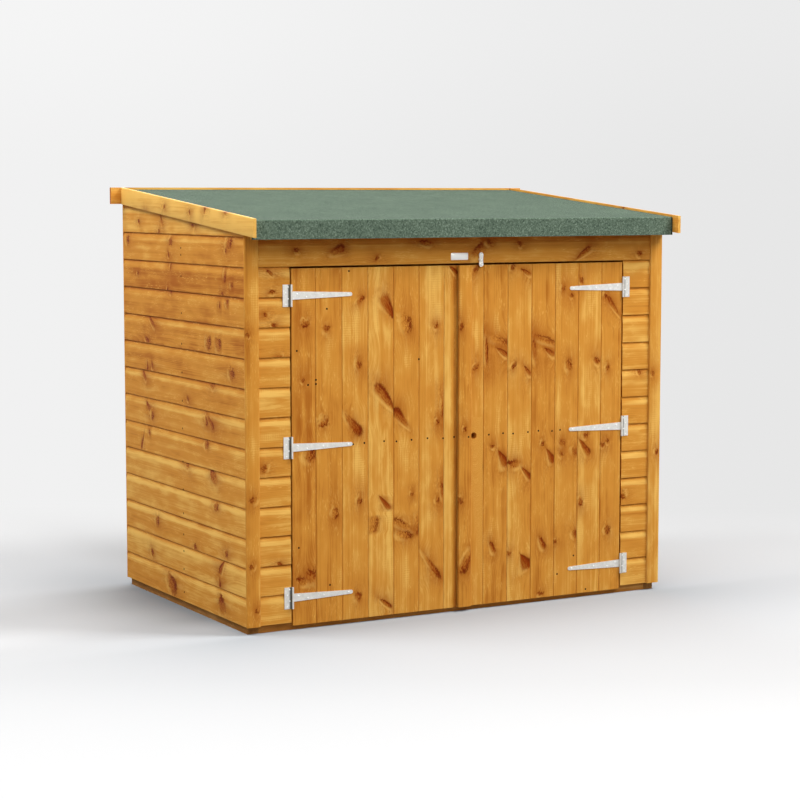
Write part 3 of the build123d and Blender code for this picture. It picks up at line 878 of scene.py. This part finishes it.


# Painted shade: the closing board's face darkens across towards its scallop and the meeting edge, for the
# shade that the cover strip casts there.
CLOSING_SHADES = {6: -0.2, 7: -0.4, 8: -0.6, 9: -0.8, 10: -1.0, 11: -1.2, 12: -1.4, 13: -1.5, 14: -1.6}
LEFT_DOOR_KNOTS = [
    # across, up, across, up, width and a spike's taper; upper half and then lower half
    (-66, 1303, -30, 1274, 15, 0.6),
    (-356, 1206, -302, 1120, 36, -0.6), (-262, 1124, -240, 1070, 38), (-662, 1122, -664, 1100, 22),
    (-578, 1092, -580, 1074, 20), (-458, 1176, -424, 1200, 16, 0.2), (-448, 966, -450, 944, 18),
    (-121, 1087, -120, 1072, 13), (-116, 736, -115, 722, 12), (-374, 872, -302, 782, 34, -0.4),
    (-300, 784, -238, 708, 26, -0.5), (-508, 778, -440, 700, 30, 0.4), (-594, 764, -590, 738, 34),
    (-98, 800, -96, 752, 6), (-656, 654, -644, 614, 46), (-547, 432, -546, 400, 22),
    (-444, 468, -446, 446, 17), (-362, 466, -318, 410, 17, 0.7), (-380, 418, -398, 300, 30),
    (-298, 368, -236, 332, 20), (-294, 318, -228, 306, 24), (-202, 396, -203, 306, 16),
    (-116, 438, -117, 424, 13), (-96, 486, -95, 442, 7), (-180, 236, -104, 140, 18, 0.25),
    (-656, 206, -630, 170, 40), (-692, 184, -664, 164, 22), (-453, 110, -452, 84, 22),
    (-358, 78, -312, 44, 16, 0.3), (-674, 906, -673, 896, 9), (-224, 470, -226, 460, 8),
]
RIGHT_DOOR_KNOTS = [
    (40, 1284, 56, 1298, 14), (204, 1286, 216, 1298, 13), (42, 918, 56, 932, 13),
    (212, 914, 222, 928, 12), (254, 1286, 296, 1262, 14, 0.5), (270, 916, 298, 878, 14, 0.5),
    (96, 1030, 98, 938, 14, 0.3), (104, 1034, 192, 1008, 22), (146, 990, 192, 958, 18, 0.5),
    (312, 1020, 314, 930, 14, 0.3), (320, 1026, 404, 1000, 20), (362, 982, 406, 950, 18, 0.5),
    (441, 1217, 442, 1204, 12), (526, 1244, 524, 1228, 12), (483, 1181, 483, 1171, 9),
    (637, 1186, 637, 1174, 11), (650, 1170, 706, 1096, 16, -0.3), (470, 926, 469, 894, 22),
    (596, 930, 612, 912, 18), (650, 906, 650, 892, 12),
    (54, 556, 84, 532, 28, 0.2), (154, 600, 190, 536, 30, 0.7), (126, 622, 132, 612, 12),
    (204, 548, 246, 540, 26), (254, 534, 298, 486, 17, 0.6), (350, 625, 352, 612, 12),
    (370, 596, 404, 540, 22, 0.8), (438, 574, 440, 560, 16), (440, 620, 446, 600, 18),
    (494, 590, 508, 570, 24), (524, 620, 568, 560, 22, 0.5), (548, 640, 556, 628, 22),
    (630, 602, 632, 588, 18), (654, 611, 656, 599, 10), (526, 392, 532, 366, 16),
    (653, 268, 655, 246, 20), (500, 264, 502, 240, 20), (415, 234, 402, 232, 8),
    (342, 252, 362, 206, 22, 0.3), (118, 254, 136, 208, 20, 0.3), (201, 210, 201, 199, 11),
    (254, 196, 290, 136, 40, 0.9), (346, 38, 350, 26, 22),
]
LEFT_DOOR_TONES = [0.85, 0.22, 0.02, 0.45, 0.25, -0.25, -0.55]
RIGHT_DOOR_TONES = [0.2, -0.25, 0.3, -0.22, 0.0, 0.25, 0.0]


def door_leaf(name, side, seed, marks, tones):
    """Boards of one leaf, from the meeting line outwards, in place of its node."""
    low, high = box_mm(f"{name}_boards")
    outer = max(abs(low[0]), abs(high[0]))
    edges = [meeting_half, meeting_half + closing_width]
    while edges[-1] + shiplap_cover < outer:
        edges.append(edges[-1] + shiplap_cover)
    edges.append(outer)
    mesh = start_boards()
    for index, (near, far) in enumerate(zip(edges, edges[1:])):
        middle = side * (near + far) / 2
        first, last = index == 0, index == len(edges) - 2
        jointed = (not last, not first) if side < 0 else (not first, not last)
        closing = first and side < 0
        section = closing_section(far - near) if closing else vee_section(far - near, *jointed)
        knots = knots_within(marks, *sorted((side * near, side * far)), middle)
        lay_board(
            mesh, section, low[2], high[2],
            lambda along, across, depth: (middle + across, high[1] - depth, along),
            seed + index, tones[index], knots, CLOSING_SHADES if closing else None,
        )
    return finish_boards(f"{name}_planks", mesh, stained_boards, name, "door_boarding", f"{name}_boards")


RIGHT_LEAF_SEED = 620
door_leaf("left_door", -1, 600, LEFT_DOOR_KNOTS, LEFT_DOOR_TONES)
right_planks = door_leaf("right_door", 1, RIGHT_LEAF_SEED, RIGHT_DOOR_KNOTS, RIGHT_DOOR_TONES)

latch_centre = (44, -558, 665)
latch_diameter = 25
drill_length = 80
bpy.ops.mesh.primitive_cylinder_add(
    vertices=40, radius=latch_diameter / 2 * MM, depth=drill_length * MM, location=Vector(latch_centre) * MM,
    rotation=(math.pi / 2, 0, 0),
)
drill = bpy.context.object
bore = right_planks.modifiers.new("bore", "BOOLEAN")
bore.operation = "DIFFERENCE"
bore.solver = "EXACT"
bore.object = drill
bored_leaf = right_planks.evaluated_get(bpy.context.evaluated_depsgraph_get())
holed = bpy.data.meshes.new_from_object(bored_leaf)
right_planks.modifiers.clear()
right_planks.data = holed
bpy.data.objects.remove(drill)

# The bore leaves new points, so the grain is read again from each point's place: up the
# board, across from its middle, out from its back. The bore's wall has no board number,
# so its grain comes from far out in the same row of boards.
grain = holed.attributes.get("grain") or holed.attributes.new("grain", "FLOAT_VECTOR", "POINT")
leaf_edge, leaf_back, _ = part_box("right_door_boards")[1]
for face, seed in zip(holed.polygons, holed.attributes["board"].data):
    index = round(seed.value) - RIGHT_LEAF_SEED
    far = meeting_half + closing_width + index * shiplap_cover
    near = far - shiplap_cover if index else meeting_half
    middle = (near + min(far, leaf_edge / MM)) / 2 * MM
    for vertex in face.vertices:
        x, y, z = holed.vertices[vertex].co
        grain.data[vertex].vector = (z, x - middle, leaf_back - y)

STRIP_KNOTS = [(-22, 1090, -20, 1070, 14), (-22, 436, -20, 418, 16), (16, 226, -14, 150, 34, 0.2),
               (-6, 700, -4, 688, 10)]
low, high = box_mm("cover_strip")
planed_board(
    "cover_strip", "right_door", eased_section(high[0] - low[0], high[1] - low[1], 2.0), low[2], high[2],
    lambda along, across, depth: (low[0] + across, high[1] - depth, along),
    640, -0.1, knots_within(STRIP_KNOTS, -100, 100, low[0]),
)

# Roof.
# Tongued boards slope to the front on the purlins and carry one sheet of green mineral
# felt, turned down over the front edge.
finish_nodes(timber("roof_deck_timber", STAIN, "X", tone=0.6, board=23.0, roughness=0.7), "roof_deck")
FELT_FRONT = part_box("roof_felt")[0].y
FELT_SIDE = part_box("roof_felt")[1].x
SLATE_CHIPS = 700.0
FELT_DARK = paint(44, 58, 48)
FELT_GREEN = paint(83, 100, 83)
FELT_PALE = paint(126, 143, 125)


def specks_at(tree, place, scale):
    """A number from 0 to 1 for each small cell of a surface."""
    cells = tree.nodes.new("ShaderNodeTexVoronoi")
    cells.inputs["Scale"].default_value = scale
    tree.links.new(place, cells.inputs["Vector"])
    return parts_of(tree, cells.outputs["Color"])[0]


mineral_felt, tree, surface = new_material("mineral_felt")
place = own_place(tree)
chip = specks_at(tree, place, SLATE_CHIPS)
patch = noise_at(tree, place, 9.0, 4.0)
grit = noise_at(tree, place, 210.0, 1.0)
felt_x, felt_y, _ = parts_of(tree, place)
# Painted light and shade: the turned-down drop is painted 0.2 paler to lift its light against the top, and a
# narrow band at each end of the drop is painted dark as shade beside the bargeboards.
eaves = felt_y.between(FELT_FRONT + 0.006, FELT_FRONT + 0.002)
ends = abs(felt_x).between(FELT_SIDE - 0.009, FELT_SIDE - 0.003)
coarse = (grit - 0.5) * (eaves * 0.2 + 1.2) + (chip - 0.5) * 0.5
level = coarse + (patch - 0.5) * 0.25 + eaves * (ends * -0.8 + 0.20) + 0.33
color = blended(tree, level.between(0.0, 0.5), FELT_DARK, FELT_GREEN)
plug(tree, surface["Base Color"], blended(tree, level.between(0.5, 1.0), color, FELT_PALE))
surface["Roughness"].default_value = 0.92
surface["Specular IOR Level"].default_value = 0.25
raise_relief(tree, surface, chip + grit, 0.8, 0.0006)
finish_nodes(mineral_felt, "roof_felt")

# Tee hinges and their screws.
# Pressed steel, galvanised to a bright pale grey. Domed screws hold each strap to its
# ledge and each plate to the door post.
BARREL_SIDE = 0.7228
ZINC_CRYSTALS = 170.0
BARREL_SHADE_COLOR = paint(84, 82, 70)


def galvanised(name, base, roughness, metallic=0.35, wear=0.80, painted_barrel_shade=False):
    """Zinc coating: faint crystals, duller in places, and painted shade beside the hinge barrels."""
    material, tree, surface = new_material(name)
    place = own_place(tree)
    worn = noise_at(tree, place, 60.0, 4.0)
    level = specks_at(tree, place, ZINC_CRYSTALS) * 0.35 + worn.between(0.35, 0.7) * 0.65
    dull = (*(value * wear for value in base[:3]), 1.0)
    color = blended(tree, level, dull, base)
    if painted_barrel_shade:
        # Painted shade: a dark band over the barrel's outer side and the plate beside it stands for the shade
        # there.
        out = abs(parts_of(tree, place)[0]) - BARREL_SIDE
        groove = out.between(0.0, 0.0008) * out.between(0.0090, 0.0070)
        color = blended(tree, groove * 0.85, color, BARREL_SHADE_COLOR)
    plug(tree, surface["Base Color"], color)
    plug(tree, surface["Metallic"], metallic)
    plug(tree, surface["Roughness"], level * -0.12 + roughness)
    raise_relief(tree, surface, level, 0.35, 0.0002)
    return material


zinc = galvanised("zinc", paint(243, 240, 233), 0.45, painted_barrel_shade=True)
screw_zinc = galvanised("screw_zinc", paint(255, 254, 250), 0.35, metallic=0.1, wear=0.93)
finish_nodes(zinc, "left_hinge_plates", "right_hinge_plates", "left_hinge_straps", "right_hinge_straps")


def domed_head(mesh, centre, radius, height, facing=(0, -1, 0), sides=12, rings=3):
    """Adds a low dome that stands out from a face of the building."""
    corners, faces = mesh
    out = Vector(facing)
    right = Vector((-out.y, out.x, 0))
    up = Vector((0, 0, 1))
    centre = Vector(centre)
    base = len(corners)
    for ring in range(rings):
        turn = math.pi / 2 * ring / rings
        for side in range(sides):
            angle = 2 * math.pi * side / sides
            flat = right * math.cos(angle) + up * math.sin(angle)
            corners.append((centre + flat * radius * math.cos(turn) + out * height * math.sin(turn)) * MM)
    corners.append((centre + out * height) * MM)
    for side in range(sides):
        after = (side + 1) % sides
        for row in range(base, base + (rings - 1) * sides, sides):
            faces.append((row + side, row + after, row + sides + after, row + sides + side))
        top = base + (rings - 1) * sides
        faces.append((top + side, top + after, top + sides))
    faces.append(tuple(reversed(range(base, base + sides))))


STRAP_SCREWS = [(25, 5), (62, -6), (127, 0), (230, 0)]
PLATE_SCREWS = [(11, 31), (20, 11), (11, -11), (20, -31)]
hinge_levels = [120.0, 665.0, 1210.0]
hinge_x = 720.0
hinge_steel = 2.0
strap_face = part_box("right_hinge_plates")[1].y / MM - hinge_steel
for side, name in ((-1, "left"), (1, "right")):
    on_strap = ([], [])
    on_plate = ([], [])
    for level in hinge_levels:
        for out, up in STRAP_SCREWS:
            domed_head(on_strap, (side * (hinge_x - out), strap_face, level + up), 3.8, 1.2)
        for out, up in PLATE_SCREWS:
            domed_head(on_plate, (side * (hinge_x + out), strap_face, level + up), 3.2, 0.9)
    add_piece(f"{name}_strap_screws", *on_strap, screw_zinc, f"{name}_door", "galvanised_fittings")
    add_piece(f"{name}_plate_screws", *on_plate, screw_zinc, "shed", "galvanised_fittings")

# Turn button.
# A pale cabinet button on a spacer over the doorway; turned upright it holds the right
# leaf shut, and the strip on that leaf holds the left one.
button_white = galvanised("button_white", paint(255, 254, 248), 0.34, metallic=0.5, wear=0.95)
finish_nodes(button_white, "turn_button", "turn_button_pivot")

# Bare plate.
# A small off-white plastic plate with bevelled edges, glued to the header beside the
# button.
plate_width = 74.0
plate_height = 26.6
plate_corner = 3.0
plate_x, plate_z = (-21.0, 1338.7)
plate_rims = ((0.0, 0.0), (0.0, 0.9), (0.8, 1.6))
header_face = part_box("front_header_cladding")[0].y / MM


def plain_finish(name, grain, first, second, roughness):
    """Finish that wavers between two near colours."""
    material, tree, surface = new_material(name)
    waver = noise_at(tree, own_place(tree), grain)
    plug(tree, surface["Base Color"], blended(tree, waver, first, second))
    surface["Roughness"].default_value = roughness
    return material, surface


plate_white, surface = plain_finish("plate_white", 90.0, paint(250, 249, 244), paint(255, 255, 252), 0.3)
surface["Metallic"].default_value = 0.6
corners = []
for inset, out in plate_rims:
    ease = plate_corner - inset
    for corner, (way_x, way_z) in enumerate(((1, 1), (-1, 1), (-1, -1), (1, -1))):
        middle_x = plate_x + (plate_width / 2 - plate_corner) * way_x
        middle_z = plate_z + (plate_height / 2 - plate_corner) * way_z
        for step in range(6):
            turn = math.pi / 2 * (corner + step / 5)
            point = (middle_x + ease * math.cos(turn), header_face - out, middle_z + ease * math.sin(turn))
            corners.append(Vector(point) * MM)
rim = len(corners) // len(plate_rims)
faces = [tuple(range(2 * rim, 3 * rim)), tuple(reversed(range(rim)))]
for row in (0, rim):
    for index in range(rim):
        after = (index + 1) % rim
        faces.append((row + index, row + after, row + rim + after, row + rim + index))
add_piece("header_plate", corners, faces, plate_white, "shed", "white_fittings")

# Nails.
# Round heads that have gone brown, driven almost flush: a row through the doors' middle
# ledges, a few more in their boards, and upright rows through the walls into the studs.
nail_brown, surface = plain_finish("nail_brown", 900.0, paint(10, 4, 2), paint(44, 22, 9), 0.8)
surface["Specular IOR Level"].default_value = 0.1
NAIL = {"radius": 3.8, "height": 0.35, "sides": 10, "rings": 2}
LEDGE_NAILS = {
    "left_door": [-470, -423, -341, -289, -225, -157, -90, -42],
    "right_door": [14, 111, 174, 219, 286, 334, 396, 433],
}
LOOSE_NAILS = {
    "left_door": [(-696, 1012), (-652, 888), (-692, 300), (-485, 1293), (-575, 1159), (-620, 905),
                  (-620, 890), (-566, 153), (-194, 963)],
    "right_door": [(500, 169), (424, 103), (558, 31)],
}
door_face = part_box("right_door_boards")[0].y / MM
strip_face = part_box("cover_strip")[0].y / MM
for body, places in LEDGE_NAILS.items():
    nails = ([], [])
    ledge_row = [(x, hinge_levels[1] + (index % 3 - 1) * 2) for index, x in enumerate(places)]
    for x, z in ledge_row + LOOSE_NAILS[body]:
        domed_head(nails, (x, strip_face if abs(x) < strip_half else door_face, z), **NAIL)
    add_piece(f"{body}_nails", *nails, nail_brown, body, "door_boarding")

LEFT_STUD_NAILS = [1369, 1343, 1264, 1125, 1010, 902, 795, 690, 564, 458, 367, 286, 222, 153, 64]
wall_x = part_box("right_wall_cladding")[1].x / MM
wall_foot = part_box("left_wall_cladding")[0].z / MM
back_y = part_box("back_wall_cladding")[1].y / MM
wall_nails = ([], [])
for z in LEFT_STUD_NAILS:
    domed_head(wall_nails, (-wall_x, -10, z), facing=(-1, 0, 0), **NAIL)
for index in range(13):
    z = wall_foot + (index + 0.35) * shiplap_cover
    for y in (-530, -10, 530):
        domed_head(wall_nails, (wall_x, y, z), facing=(1, 0, 0), **NAIL)
    for x in (-870, -300, 300, 870):
        domed_head(wall_nails, (x, back_y, z), facing=(0, 1, 0), **NAIL)
add_piece("wall_nails", *wall_nails, nail_brown, "shed", "shiplap_cladding")

# Floor, backdrop, lamps and camera.
# A pale seamless studio. The main light stands high on the right, so its shadow falls on
# the floor at the left; the floor's colour, seen straight on, adds painted shade round the
# shed's foot and in a band in front of it, painted lifts at the left and behind the back
# corner, painted brightening further forward and a painted cool tint against the bounce
# from the timber; the backdrop darkens a little towards the right.
CAMERA_PLACE = Vector((-3.9554, -7.1289, 1.5698))
CAMERA_TURN = math.radians(29.282)
CAMERA_DIP = math.radians(5.724)
AHEAD = (math.sin(CAMERA_TURN), math.cos(CAMERA_TURN))
BACKDROP_LEFT = paint(241, 241, 241)
BACKDROP_RIGHT = paint(231, 231, 231)
BACKDROP_SPREAD = 0.19
PAPER = 0.56
PAPER_BOUNCE = 0.30
PAPER_SIZE = 80
DOME = (0.34, 0.34, 0.34, 1.0)


def backdrop_color(tree, x, y):
    """Backdrop colour towards a point that lies x and y away, over the ground."""
    ahead = x * AHEAD[0] + y * AHEAD[1]
    aside = x * AHEAD[1] - y * AHEAD[0]
    turn = aside / ahead.math("MAXIMUM", 0.01)
    return blended(tree, turn.between(-BACKDROP_SPREAD, BACKDROP_SPREAD), BACKDROP_LEFT, BACKDROP_RIGHT)


def rays_of(tree, *kinds):
    """1 for the kinds of ray named, and 0 for the rest."""
    rays = tree.nodes.new("ShaderNodeLightPath")
    found = Reading(tree, rays.outputs[kinds[0]])
    for kind in kinds[1:]:
        found = found + Reading(tree, rays.outputs[kind])
    return found.math("MINIMUM", 1.0)


def faded(reading, reach):
    """1 where the reading is 0, less the further it goes."""
    return (reading / -reach).math("EXPONENT")


def bell(reading, middle, spread):
    """1 at the middle, less at both sides of it."""
    return (((reading - middle) / spread) ** 2.0 * -1.0).math("EXPONENT")


studio_paper, tree, _ = new_material("studio_paper")
tree.nodes.clear()
output = tree.nodes.new("ShaderNodeOutputMaterial")
matt = tree.nodes.new("ShaderNodeBsdfDiffuse")
glow = tree.nodes.new("ShaderNodeEmission")
mix = tree.nodes.new("ShaderNodeMixShader")
floor_x, floor_y, _ = parts_of(tree, own_place(tree))
glow_color = backdrop_color(tree, floor_x - CAMERA_PLACE.x, floor_y - CAMERA_PLACE.y)
tree.links.new(glow_color, glow.inputs["Color"])
back = floor_x * AHEAD[0] + floor_y * AHEAD[1]
gap_x = (abs(floor_x) - wall_x * MM).math("MAXIMUM", 0.0)
gap_y = (abs(floor_y) - back_y * MM).math("MAXIMUM", 0.0)
gap = distance(gap_x, gap_y)
corner = distance(floor_x + wall_x * MM, floor_y - back_y * MM)
beside = (-floor_x).between(0.6, 0.95) * floor_y.between(-0.42, -0.18)
# Painted shade and light in the floor's colour, for camera rays only: shade all round the foot, a dark band
# in front (hollow), brightening further ahead, shade along the front foot, shade and a lift beside the left
# wall, and a lift behind the back left corner.
painted_shade_all_round = bell(back, 0.0, 0.55) * -0.04 - faded(gap, 0.25) * 0.16
hollow = bell(back, -1.15, 0.7) * 0.085
painted_lift_ahead = (-back - 1.6).math("MAXIMUM", 0.0) * 0.075
painted_shade_at_front = faded(gap, 0.35) * floor_y.between(-0.54, -0.64) * 0.12
painted_shade_and_lift_at_left = faded(gap, 0.42) * -0.72 + 0.33 - gap.between(0.4, 1.4) * 0.22 - bell(floor_y, 0.2, 0.22) * 0.09
behind = faded(corner, 0.25) * floor_y.between(0.42, 0.62) * 0.5
shade = (painted_shade_all_round + 1.0) * (painted_lift_ahead - hollow - painted_shade_at_front + 1.0)
shade = shade * (painted_shade_and_lift_at_left * beside + behind + 1.0) * PAPER
shade = (shade - PAPER_BOUNCE) * rays_of(tree, "Is Camera Ray") + PAPER_BOUNCE
tone = tree.nodes.new("ShaderNodeCombineColor")
# Painted cool tint near the shed, cancelling the warm light that the timber bounces onto the floor.
painted_cool_tint = faded(gap, 0.7) * 0.06
for socket, cast in zip(tone.inputs, (-1.0, 0.0, 1.0)):
    plug(tree, socket, shade * (painted_cool_tint * cast + 1.0))
tree.links.new(tone.outputs[0], matt.inputs["Color"])
far = back.between(0.6, 2.2).math("MAXIMUM", distance(floor_x, floor_y).between(3.2, 5.6))
plug(tree, mix.inputs[0], far * rays_of(tree, "Is Camera Ray", "Is Glossy Ray"))
tree.links.new(matt.outputs[0], mix.inputs[1])
tree.links.new(glow.outputs[0], mix.inputs[2])
tree.links.new(mix.outputs[0], output.inputs["Surface"])
bpy.ops.mesh.primitive_plane_add(size=PAPER_SIZE, location=(0, 0, 0))
floor = bpy.context.object
floor.name = "studio_floor"
floor.data.materials.append(studio_paper)

world = bpy.data.worlds.new("studio")
bpy.context.scene.world = world
world.use_nodes = True
tree = world.node_tree
background = tree.nodes["Background"].inputs
seen = rays_of(tree, "Is Camera Ray", "Is Glossy Ray", "Is Transmission Ray")
way_x, way_y, way_z = parts_of(tree, tree.nodes.new("ShaderNodeTexCoord").outputs["Generated"])
plug(tree, background["Color"], blended(tree, seen, DOME, backdrop_color(tree, way_x, way_y)))
plug(tree, background["Strength"], way_z.between(0.0, 0.09) * seen * 0.037 + 1.0)

LAMPS = {
    # place, point it is aimed at, side of its square and power
    "overhead": ((0.0, -1.2, 6.0), (0, 0, 0), 3.6, 40),
    "key": ((4.3, -3.4, 6.8), (0, 0, 0.7), 2.6, 600),
    "front": ((0.4, -6.2, 5.4), (0, 0, 0.7), 2.6, 125),
    "fill": ((-4.4, -3.6, 5.0), (0, 0, 0.7), 3.0, 70),
    "side": ((-4.0, 1.0, 5.8), (0, 0, 0.7), 2.6, 268),
    "rear": ((1.5, 5.5, 4.5), (0, 0, 0.8), 3.0, 90),
}
for name, (place, target, width, power) in LAMPS.items():
    soft_box = bpy.data.lights.new(name, "AREA")
    soft_box.size = width
    soft_box.energy = power
    lamp = bpy.data.objects.new(name, soft_box)
    lamp.location = place
    lamp.rotation_euler = (Vector(target) - Vector(place)).to_track_quat("-Z", "Y").to_euler()
    bpy.context.scene.collection.objects.link(lamp)

camera_data = bpy.data.cameras.new("camera")
camera_data.lens = 92.53
camera_data.sensor_width = 36.0
camera = bpy.data.objects.new("camera", camera_data)
camera.location = CAMERA_PLACE
camera.rotation_euler = (math.pi / 2 - CAMERA_DIP, 0.0, -CAMERA_TURN)
bpy.context.scene.collection.objects.link(camera)
bpy.context.scene.camera = camera
bpy.context.scene.view_settings.view_transform = "Standard"
